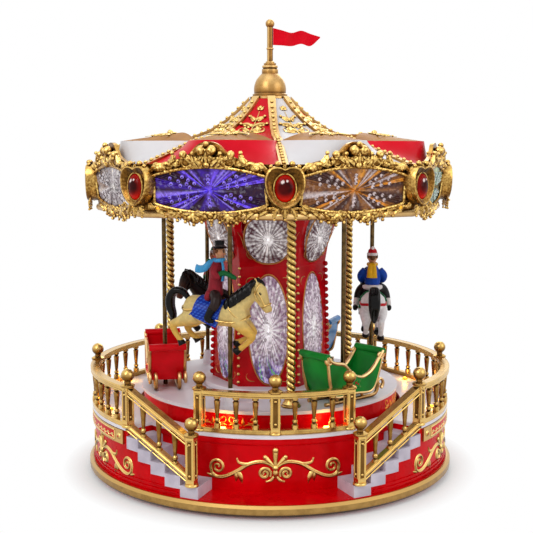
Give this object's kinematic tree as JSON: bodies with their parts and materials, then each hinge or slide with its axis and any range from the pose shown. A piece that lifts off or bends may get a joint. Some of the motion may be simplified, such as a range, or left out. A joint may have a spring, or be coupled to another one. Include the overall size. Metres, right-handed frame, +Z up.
{
  "type": "carousel music box",
  "caption": "Tabletop carousel music box: red and gold base with stairs and balustrade, turning platform with horses and sleighs, lit column and eight-sided lens canopy",
  "frame": {"origin": "centre of the underside of the feet, on the table", "axes": "+Z up along the spindle; the stairs and set-back front face -Y; +X to the right seen from the front"},
  "size_m": [0.24, 0.24, 0.2911],
  "materials": {
    "red_gloss": "bright red gloss lacquer on moulded plastic",
    "dark_red": "deep red gloss lacquer on moulded plastic",
    "antique_gold": "gold paint with a brown wash in the hollows",
    "white_plastic": "white moulded plastic",
    "stair_grey": "lavender-grey painted plastic",
    "brass_rod": "polished brass",
    "clear_lens": "clear facetted acrylic",
    "ruby": "deep red clear acrylic stone",
    "warm_lamp": "warm yellow lamp",
    "palomino_paint": "cream-tan paint on resin",
    "white_paint": "white paint on resin",
    "black_paint": "near-black paint on resin",
    "coat_burgundy": "painted resin figure",
    "coat_blue": "painted resin figure",
    "coat_green": "painted resin figure",
    "sleigh_green": "green gloss paint with gold edges",
    "sleigh_blue": "blue gloss paint with gold edges",
    "sleigh_red": "red gloss paint with gold edges",
    "black_rubber": "black rubber",
    "black_plastic": "black moulded plastic",
    "nylon": "natural nylon",
    "steel": "zinc-plated steel",
    "board_green": "fibreglass circuit board"
  },
  "bodies": {
    "base": {"feet": "black_rubber", "rim_ring": "antique_gold", "bottom_cover": "black_plastic", "cover_screws": "steel", "battery_door": "black_plastic", "battery_box": "black_plastic", "cells": "steel", "base_shell": "red_gloss", "stair_flights": "stair_grey", "plaque_band": "antique_gold", "deck": "white_plastic", "rails": "antique_gold", "balusters": "antique_gold", "rail_posts": "antique_gold", "ball_finials": "antique_gold", "spindle_post": "nylon", "column_plinth": "dark_red", "column_shell": "dark_red", "column_lenses": "clear_lens", "fascia_frame": "antique_gold", "fascia_lenses": "clear_lens", "cabochons": "ruby", "warm_lamps": "warm_lamp", "canopy_carrier": "white_plastic", "canopy_floor": "white_plastic", "lamp_board": "board_green", "roof_red": "red_gloss", "roof_white": "white_plastic", "roof_ribs": "antique_gold", "roof_crescents": "antique_gold", "bell_finial": "antique_gold", "flag_pole": "antique_gold", "flag": "red_gloss", "lift_cam": "nylon", "gear_motor": "black_plastic", "speaker": "black_plastic", "sound_board": "board_green"},
    "palomino": {"palomino_horse": "palomino_paint", "palomino_rider": "coat_burgundy", "palomino_rod": "brass_rod"},
    "white_horse_body": {"white_horse": "white_paint", "white_rider": "coat_blue", "white_rod": "brass_rod"},
    "black_horse_body": {"black_horse": "black_paint", "black_rider": "coat_green", "black_rod": "brass_rod"},
    "pinion": {"drive_pinion": "nylon"},
    "wheel": {"volume_wheel": "black_plastic"},
    "switch": {"power_switch": "black_plastic"},
    "turntable": {"platform_drum": "red_gloss", "platform_top": "white_plastic", "ceiling_ring": "white_plastic", "twisted_poles": "antique_gold", "sleigh_rods": "brass_rod", "ring_gear": "nylon", "green_sleigh": "sleigh_green", "blue_sleigh": "sleigh_blue", "red_sleigh": "sleigh_red", "sleigh_runners": "antique_gold"}
  },
  "joints": [
    {"name": "carousel_spin", "type": "hinge", "parent": "base", "child": "turntable", "pos_m": [0, 0, 0.04], "axis": [0, 0, 1], "continuous": true},
    {"name": "palomino_lift", "type": "slide", "parent": "turntable", "child": "palomino", "axis": [0, 0, 1], "range_m": [-0.01, 0]},
    {"name": "white_lift", "type": "slide", "parent": "turntable", "child": "white_horse_body", "axis": [0, 0, 1], "range_m": [-0.0055, 0.0045]},
    {"name": "black_lift", "type": "slide", "parent": "turntable", "child": "black_horse_body", "axis": [0, 0, 1], "range_m": [-0.002, 0.008]},
    {"name": "pinion_turn", "type": "hinge", "parent": "base", "child": "pinion", "pos_m": [0.03897, 0.0225, 0.03], "axis": [0, 0, 1], "continuous": true},
    {"name": "volume_turn", "type": "hinge", "parent": "base", "child": "wheel", "pos_m": [-0.011, 0.1074, 0.015], "axis": [0, 0, 1], "range_deg": [-135, 135]},
    {"name": "power_slide", "type": "slide", "parent": "base", "child": "switch", "axis": [1, 0, 0], "range_m": [-0.002, 0.002]}
  ],
  "couplings": [
    {"joint": "pinion_turn", "follows": "carousel_spin", "ratio": -3.5}
  ]
}
